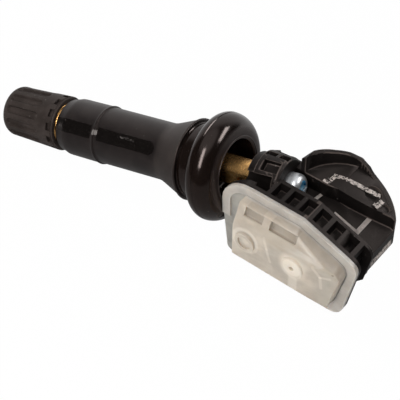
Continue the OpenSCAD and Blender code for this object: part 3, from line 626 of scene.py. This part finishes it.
def makeInsert():  # the CAD insert, with a threaded sleeve in place of its plain tip
    piece = softened("brass_insert", "insertBrass", 0.16, 30, 2)
    tip, cut, outer, bore = thread["tipS"], thread["cutS"] + 0.02, thread["outerR"], thread["boreR"]
    rows = span((tip, outer), (cut, outer), thread["steps"]) + [(cut, bore), (tip, bore), (tip, outer)]
    points, faces = latheForm(rows, [2 * math.pi * k / thread["turns"] for k in range(thread["turns"])])
    sleeve = shapedBy(addMesh("threadSleeve", points, faces), threadTree(), thread, brassTurned, 30)
    axis = valveTurn @ Vector((0, 0, 1))
    form = bmesh.new()
    form.from_mesh(piece.data)
    cutOff(form, axis * thread["cutS"], -axis, close=False)
    form.from_mesh(sleeve.data)
    form.to_mesh(piece.data)
    form.free()
    bpy.data.objects.remove(sleeve)
    piece.data.shade_smooth()
    piece.data.set_sharp_from_angle(angle=math.radians(35))
    return piece


insertBrass = makeInsert()
print("insert:", len(insertBrass.data.polygons), "faces")

# the housing's edges are painted lighter: wear and a painted highlight
housingPlastic = moulded("housingPlastic", {
    "dark": "0b0908", "light": "13100f", "worn": "332e2b", "patch": 3.5, "grain": 0.12, "rough": 0.5,
    "roughSpread": 0.2, "depth": 0.02, "wear": 0.35, "dust": 0.3, "dustSize": 2.2, "specular": 0.24,
    "sheen": (1, 0.84, 0.78, 1), "edges": 0.9})
spur = ((9.0, 5.23, 0), (-0.57, 0.82, 0))  # spur of the cradle that is cut off: a place in mm, and outwards
housingShell = softened("housing", "housingShell", 0.15, 32, 2, spur)
print("housing:", len(housingShell.data.polygons), "faces")


def offSpot(x, z, spot):  # mm from a spot on the lid's face
    return (x - spot[0]).diagonal(z - spot[1])


lidLook = {
    "dark": "aca194", "light": "c1b7a9", "shade": "8d8b82", "bright": "ded5c7", "halo": "ddd2c3",
    "boss": "e2dacd", "rib": "ddd5c8", "speck": "5d564e", "window": "93897d", "ledge": "ab9f90",
    "flangeDark": "a5a09a", "flangeLight": "b8b3ad",
    "gateAt": (23.3, -1.1), "bossAt": (13.9, -1.5), "dotAt": (30.3, 1.0), "dotR": 0.16,  # x and z on the face
    "windows": ((12.6, 16.2), (17.6, 22.9)),  # from x, to x
    "ribs": (((17.3, 1.3), (18.1, -0.6)), ((18.1, -0.6), (19.0, -3.0)), ((26.9, 1.2), (28.3, -0.6)),
             ((28.3, -0.6), (29.9, -0.2)), ((28.3, -0.6), (28.6, -3.2))),
    "ribHalf": 0.16, "gutterFrom": -5.4,  # y in mm
    "rough": 0.34, "depth": 0.012,
    # colours of the gutter, darkened as painted shade
    "gutterShadeDark": "8a8781", "gutterShadeLight": "a39f97", "gutterShadeTop": "aca89f", "gutterShadeFar": "686562",
    "bulk": {"Subsurface Weight": 0.5, "Subsurface Radius": (1, 0.85, 0.7), "Subsurface Scale": 0.0018},
}


# the gutter beside the raised block is painted darker: shade cast by the block, and the thin wall over the dark
# inside; lighter towards the upper left, darkest at the far right
def gutterShadeColour(look, x, z, tone):
    colour = tone.blend(tint(look["gutterShadeDark"]), tint(look["gutterShadeLight"]))
    colour = (z.step(-1.0, 4.0) * (1 - x.step(24, 30)) * 0.6).blend(colour, tint(look["gutterShadeTop"]))
    return (x.step(28, 33) * 0.8).blend(colour, tint(look["gutterShadeFar"]))


def faceColour(look, x, y, z, tone, cloud):  # with the insides showing through
    colour = tone.blend(tint(look["dark"]), tint(look["light"]))
    onFace = 1 - y.step(-8.3, -7.6)
    flange = y.step(-6.1, -5.7)
    gate = offSpot(x, z, look["gateAt"])
    boss = offSpot(x, z, look["bossAt"])
    shadow = z.step(-4.5, -1.5) * x.around(21.5, 1.5, 5) * 0.25 + x.step(26.5, 29.5) * 0.3
    shadow = shadow + (1 - z.step(-8.5, -6.5)) * 0.2
    colour = (onFace * shadow * (0.6 + cloud * 0.6)).clamp().blend(colour, tint(look["shade"]))
    colour = ((1 - gate.step(1.9, 3.2)) * 0.55).blend(colour, tint(look["halo"]))
    colour = ((1 - gate.step(1.55, 1.9)) * 0.7).blend(colour, tint(look["bright"]))
    pin = x.around(23.6, 0.6, 1.1) * (1 - z.step(-3.2, -2.6)) * z.step(-8, -6)
    colour = (onFace * pin * 0.45).blend(colour, tint(look["bright"]))
    colour = (onFace * boss.around(2.3, 0.15, 0.5) * 0.4).blend(colour, tint(look["boss"]))
    colour = (onFace * (1 - boss.step(0.2, 1.3)) * 0.4).blend(colour, tint(look["boss"]))
    for ends in look["ribs"]:
        colour = (onFace * strokeMask(x, z, ends, look["ribHalf"]) * 0.35).blend(colour, tint(look["rib"]))
    dot = 1 - offSpot(x, z, look["dotAt"]).step(look["dotR"], look["dotR"] * 1.6)
    colour = (onFace * dot * 0.8).blend(colour, tint(look["speck"]))
    colour = (flange * 0.75).blend(colour, tone.blend(tint(look["flangeDark"]), tint(look["flangeLight"])))
    colour = (z.step(0.6, 1.4) * (1 - flange) * 0.4).blend(colour, tint(look["ledge"]))
    for left, right in look["windows"]:
        inside = x.step(left, left + 0.3) * (1 - x.step(right - 0.3, right)) * z.step(2.6, 2.9) * (1 - flange)
        colour = (inside * 0.5).blend(colour, tint(look["window"]))
    return colour


def lidFinish(name, look, gutter=False):  # natural moulding: cloudy and slightly see-through
    mat, place = startFinish(name)
    cloud = place.noise(3.2, 3)
    flow = place.noise(1.1, 4, 0.6, (0.5, 1, 1.6))
    fine = place.noise(0.12, 3)
    tone = (cloud * 0.7 + flow * 0.3).step(0.32, 0.68)
    x, y, z = place.axes()
    colour = gutterShadeColour(look, x, z, tone) if gutter else faceColour(look, x, y, z, tone, cloud)
    rough = look["rough"] + (fine - 0.5) * 0.1 + flow * 0.08
    return closeFinish(mat, place, colour, rough, fine + flow, look["depth"], look["bulk"])


lidNatural = lidFinish("lidNatural", lidLook)
lidGutterShade = lidFinish("lidGutterShade", lidLook, True)
lidShell = softened("lid", "lidShell", 0.18, 32, 3)
print("lid:", len(lidShell.data.polygons), "faces")

bluePaint = moulded("bluePaint", {
    "dark": "3580aa", "light": "58aad6", "worn": "9accec", "patch": 0.8, "grain": 0.07, "rough": 0.3,
    "depth": 0.02, "wear": 0.5})


zincLook = {
    "light": "c9cbcd", "dark": "888c8f", "paint": "3b8cba", "rough": 0.4, "depth": 0.02, "metal": 0.92,
    "spill": (17.05, 1.95, 4.4), "spillR": 0.95,  # where the paint ran over the head
}


def zincFinish(look):  # plated screw with locking paint run over one side of its head
    mat, place = startFinish("zincSteel")
    broad = place.noise(0.9, 4)
    fine = place.noise(0.16, 4, 0.7)
    colour = (broad.step(0.4, 0.7) * 0.5).blend(tint(look["light"]), tint(look["dark"]))
    spill = ballMask(place, look["spill"], look["spillR"], 0.5)
    colour = spill.blend(colour, tint(look["paint"]))
    rough = look["rough"] + (fine - 0.5) * 0.25 - spill * 0.15
    height = fine + broad * 0.6
    metal = (1 - spill) * look["metal"]
    return closeFinish(mat, place, colour, rough, height, look["depth"], {"Metallic": metal})


zincSteel = zincFinish(zincLook)
screwZinc = softened("clamp_screw", "screwZinc", 0.06, 32, 2)
screwDaub = softened("screw_paint", "screwDaub", 0.05, 32, 2)
print("screw:", len(screwZinc.data.polygons), "faces")


def makeSpring():  # a copy of the CAD spring; the real one shortens when the pin is pressed in
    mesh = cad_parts["core_spring"].data.copy()
    form = bmesh.new()
    form.from_mesh(mesh)
    bmesh.ops.remove_doubles(form, verts=form.verts, dist=rounding["merge"])
    form.to_mesh(mesh)
    form.free()
    mesh.shade_smooth()
    return linked("coilSpring", mesh)


coilSpring = makeSpring()
print("spring copied")

printing = {
    "rise": 0.02, "endX": 32.0,
    "fallX": 22.3, "fallAngle": 18.5,  # every stroke falls as the channel's floor does, from that x on
    "channelFloor": 2.0,
    "channel": (((19.2, 2.1), (19.55, 4.2), 0.6), ((23.3, 2.42), (28.2, 2.42), 0.62),  # from, to, width
                ((27.95, 2.2), (27.95, 6.6), 0.75)),
    "lobeFloor": 5.0,
    "lobe": (((19.3, 4.75), (20.6, 4.75), 0.6), ((20.3, 5.3), (20.4, 6.5), 0.7),
             ((20.1, 6.55), (27.9, 8.9), 0.8), ((27.9, 6.9), (28.9, 6.9), 0.6),
             ((28.6, 7.2), (28.6, 8.5), 0.8)),
    "end": (0.9, 7.0, -4.35, -2.95),  # low y, high y, low z, high z
    "dark": "a99e97", "light": "d3c8c0", "bare": "1a1513", "worn": "3a322e",
}
printFall = math.tan(math.radians(printing["fallAngle"]))


def slab(points, faces, corners, out):  # thin slab on four corners, standing out from the face they lie on
    base = len(points)
    for corner in corners:
        points.append(tuple(Vector(corner) - out))
        points.append(tuple(Vector(corner) + out))
    for f in ((1, 3, 5, 7), (0, 6, 4, 2), (0, 2, 3, 1), (2, 4, 5, 3), (4, 6, 7, 5), (6, 0, 1, 7)):
        faces.append(tuple(base + v for v in f))


def layStroke(points, faces, stroke, top):  # one stroke on a floor, split where the floor starts to fall
    a, b, width = stroke
    run = Vector((b[0] - a[0], b[1] - a[1]))
    side = Vector((-run.y, run.x)).normalized() * width / 2
    bend = (printing["fallX"] - a[0]) / run.x if abs(run.x) > 1 else -1
    stops = [0.0] + ([bend] if 0 < bend < 1 else []) + [1.0]
    for t0, t1 in zip(stops, stops[1:]):
        corners = []
        for t, sign in ((t0, -1), (t1, -1), (t1, 1), (t0, 1)):
            x, y = a[0] + run.x * t + side.x * sign, a[1] + run.y * t + side.y * sign
            corners.append((x, y, top - max(0, x - printing["fallX"]) * printFall))
        slab(points, faces, corners, Vector((0, 0, printing["rise"])))


def makePrint():
    points, faces = [], []
    for stroke in printing["channel"]:
        layStroke(points, faces, stroke, printing["channelFloor"])
    for stroke in printing["lobe"]:
        layStroke(points, faces, stroke, printing["lobeFloor"])
    y0, y1, z0, z1 = printing["end"]
    corners = [(printing["endX"], y, z) for y, z in ((y0, z0), (y1, z0), (y1, z1), (y0, z1))]
    slab(points, faces, corners, Vector((printing["rise"], 0, 0)))
    return addMesh("floorPrint", points, faces, None, 30)


def printFinish():  # pale ink, patchy on the round part and the end, solid in the channel
    mat, place = startFinish("printPale")
    x, _, z = place.axes()
    broad = place.noise(0.8, 4, 0.6)
    fine = place.noise(0.12, 4, 0.7)
    tone = (broad * 0.6 + fine * 0.4).step(0.35, 0.65)
    colour = tone.blend(tint(printing["dark"]), tint(printing["light"]))
    blots = place.noise(0.55, 4, 0.75, (1, 1.3, 1)).step(0.5, 0.56)
    lobe = (z + (x - printing["fallX"]).atLeast(0.0) * printFall).step(3.0, 4.0)
    patchy = (lobe + x.step(31.6, 31.9)).clamp()
    colour = (blots * patchy * 0.95).blend(colour, tint(printing["bare"]))
    colour = (fine.step(0.62, 0.7) * 0.5).blend(colour, tint(printing["worn"]))
    rough = 0.65 + (fine - 0.5) * 0.3
    return closeFinish(mat, place, colour, rough, fine + broad, 0.01, {"Specular IOR Level": 0.3})


floorPrint = makePrint()
printPale = printFinish()
print("print laid")

innerLooks = (  # name, dark, light, worn, patch, grain, rough, depth
    ("sealRubber", "121110", "201e1d", "2f2c2a", 1.5, 0.08, 0.6, 0.015),
    ("sealRed", "8f1f14", "b63a28", "c9604c", 1.2, 0.08, 0.45, 0.01),
    ("boardGreen", "0f3a20", "1d5a33", "3c7a50", 1.8, 0.2, 0.35, 0.01),
    ("chipBlack", "141416", "222226", "3a3a3e", 1.4, 0.06, 0.5, 0.01),
    ("capacitorBody", "7a5c3c", "a3835c", "b89c78", 0.8, 0.06, 0.4, 0.01),
    ("gasketGrey", "4c4c50", "66666a", "808084", 1.2, 0.08, 0.6, 0.01),
    ("membraneWhite", "d6d6d0", "eeeeea", "f6f6f2", 0.8, 0.04, 0.8, 0.01),
)
metalLooks = (  # name, dark, light, patch, grain, rough, stretch, turned
    ("coilCopper", "5a2f18", "a8623a", 1.2, 0.12, 0.4, (6, 0.6, 0.6), False),
    ("cellSteel", "8c8e90", "c6c8ca", 2.2, 0.1, 0.3, (0.4, 3, 1), False),
    ("tabNickel", "96948c", "d0cec6", 1.2, 0.08, 0.28, (0.4, 3, 1), False),
    ("springSteel", "707478", "b4b8bc", 0.8, 0.06, 0.3, (1, 1, 1), False),
    ("coreBrass", "8a6a38", "d2b070", 1.4, 0.1, 0.28, (0.4, 0.4, 4), True),
)
inner = {}
for name, *values in innerLooks:
    look = dict(zip(("dark", "light", "worn", "patch", "grain", "rough", "depth"), values))
    inner[name] = moulded(name, look)
for name, *values in metalLooks:
    look = dict(zip(("dark", "light", "patch", "grain", "rough", "stretch", "turned"), values))
    inner[name] = metalled(name, look)
print("inner finishes:", len(inner))

placePiece(capShell, "cap", "cap_plastic", capPlastic, "valve_cap")
placePiece(stemRubber, "sensor", "stem_rubber", rubberSatin, "rubber_stem")
placePiece(insertBrass, "sensor", "brass", brassTurned, "brass_insert")
placePiece(housingShell, "sensor", "housing_plastic", housingPlastic, "housing")
placePiece(lidShell, "sensor", "lid_plastic", lidNatural, "lid")
placePiece(screwZinc, "sensor", "zinc_steel", zincSteel, "clamp_screw")
placePiece(screwDaub, "sensor", "blue_paint", bluePaint, "screw_paint")
placePiece(floorPrint, "sensor", "housing_plastic", printPale)
dress(coilSpring, inner["springSteel"])
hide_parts("core_spring")
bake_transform(coilSpring)
carried = {
    "cap_seal": "sealRubber", "core_plug": "coreBrass", "core_barrel": "coreBrass", "core_seal": "sealRed",
    "core_pin": "coreBrass", "core_poppet": "coreBrass", "poppet_seal": "sealRubber",
    "circuit_board": "boardGreen", "coin_cell": "cellSteel", "cell_tab_plus": "tabNickel",
    "cell_tab_minus": "tabNickel", "sensor_chip": "chipBlack", "crystal": "cellSteel",
    "wake_coil": "coilCopper", "loop_antenna": "tabNickel",
    "chip_capacitors": "capacitorBody", "port_gasket": "gasketGrey", "port_membrane": "membraneWhite",
}
for node, finish in carried.items():
    dress(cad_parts[node], inner[finish])

lidShell.data.materials.append(lidGutterShade)
for face in lidShell.data.polygons:  # floor of the gutter and the walls just above it, which take the darker finish of painted shade
    if face.normal.y < -0.3 and face.center.y > lidLook["gutterFrom"] * mm:
        face.material_index = 1
print("pieces placed")

studio = {
    "floorZ": -16.9, "floorHalf": 3000, "paper": 0.86, "keep": 0.985, "sky": 0.3,
    "floorShine": (0.36, 1.0),  # in reflections, close by and far behind; the dimmer shine close by is a painted shadow of the object
    "shineFrom": 15, "shineTo": 60,  # mm behind, between which it changes
    "front": (0.616, -0.788, 0.0),  # the side that the dark room is on
    "roomEdge": -0.72, "darkRoom": 0.04, "paleWall": 1.0, "aim": (5, 0, 0),
}
lamps = (  # place, long way, length, width, power, seen in reflections
    ((-150, -110, 230), (1, 0, 0), 110, 77, 0.42, False),
    ((60, -300, 160), (1, 0, 0), 140, 98, 0.64, False),
    ((60, 260, 200), (1, 0, 0), 200, 140, 0.2, False),
    ((40, -152, 216), (0.24, -0.78, -0.58), 180, 60, 0.5, True),
    ((141, 156, 158), (0.68, -0.73, 0.12), 140, 60, 0.36, True),
)


def rayMask(first, kind):  # 1 for rays of that kind
    return first.node("ShaderNodeLightPath", {}, {}, out="Is " + kind + " Ray")


def makeFloor():  # lit paper that keeps the shadow, near white to the camera, its own shine in reflections, dimmed close by as a painted shadow
    half, z = studio["floorHalf"], studio["floorZ"]
    corners = [(-half, -half, z), (half, -half, z), (half, half, z), (-half, half, z)]
    floor = addMesh("floor", corners, [(0, 1, 2, 3)])
    mat = bpy.data.materials.new("floorPale")
    mat.use_nodes = True
    tree = mat.node_tree
    tree.nodes.clear()
    first = Wire(tree)
    paper = first.node("ShaderNodeBsdfDiffuse", {}, {"Color": (studio["paper"],) * 3 + (1,)})
    glow = first.node("ShaderNodeEmission", {}, {"Color": (1, 1, 1, 1), "Strength": 1.0})
    black = first.node("ShaderNodeEmission", {}, {"Color": (0, 0, 0, 1), "Strength": 0.0})
    raw = first.node("ShaderNodeTexCoord", {}, {}, out="Object")
    behind = first.node("ShaderNodeVectorMath", {"operation": "DOT_PRODUCT"},
                        {0: raw, 1: [-v / mm for v in studio["front"]]}, out="Value")
    near, far = studio["floorShine"]
    # in reflections the floor glows dimmer close by: a painted shadow of the object
    shineWithPaintedShadow = near + behind.step(studio["shineFrom"], studio["shineTo"]) * (far - near)
    seen = (rayMask(first, "Camera") + rayMask(first, "Transmission")).clamp() * studio["keep"]
    mirrored = first.node("ShaderNodeMixShader", {}, {0: shineWithPaintedShadow, 1: black, 2: glow})
    plainLook = first.node("ShaderNodeMixShader", {}, {0: seen, 1: paper, 2: glow})
    mix = first.node("ShaderNodeMixShader", {}, {0: rayMask(first, "Glossy"), 1: plainLook, 2: mirrored})
    output = tree.nodes.new("ShaderNodeOutputMaterial")
    tree.links.new(mix.socket, output.inputs["Surface"])
    dress(floor, mat)


def makeSky():  # white to the camera, even on matt things, a pale wall and a dark room in reflections
    world = bpy.data.worlds.new("studio")
    bpy.context.scene.world = world
    world.use_nodes = True
    tree = world.node_tree
    tree.nodes.clear()
    first = Wire(tree)
    camera, glossy = rayMask(first, "Camera"), rayMask(first, "Glossy")
    heading = first.node("ShaderNodeTexCoord", {}, {}, out="Generated")
    frontness = first.node("ShaderNodeVectorMath", {"operation": "DOT_PRODUCT"},
                           {0: heading, 1: studio["front"]}, out="Value")
    height = heading.axes()[2]
    room = frontness.step(studio["roomEdge"], studio["roomEdge"] + 0.35) * (1 - height.step(0.78, 0.92))
    mirror = studio["paleWall"] - room * (studio["paleWall"] - studio["darkRoom"])
    power = camera + (1 - camera) * (glossy * mirror + (1 - glossy) * studio["sky"])
    sky = first.node("ShaderNodeBackground", {}, {"Color": (1, 1, 1, 1), "Strength": power})
    output = tree.nodes.new("ShaderNodeOutputWorld")
    tree.links.new(sky.socket, output.inputs["Surface"])


def makeLamps():
    for i, (place, way, length, width, power, shiny) in enumerate(lamps):
        data = bpy.data.lights.new("softbox" + str(i), "AREA")
        data.shape = "RECTANGLE"
        data.size = length * mm
        data.size_y = width * mm
        data.energy = power
        lamp = linked("softbox" + str(i), data)
        lamp.visible_glossy = shiny
        lamp.visible_diffuse = not shiny
        spot = Vector(place) * mm
        back = (spot - Vector(studio["aim"]) * mm).normalized()
        side = (Vector(way) - back * back.dot(Vector(way))).normalized()
        turn = Matrix((side, back.cross(side), back)).transposed().to_4x4()
        lamp.matrix_world = Matrix.Translation(spot) @ turn


makeFloor()
makeSky()
makeLamps()
bpy.context.scene.view_settings.view_transform = "Standard"
print("studio set")
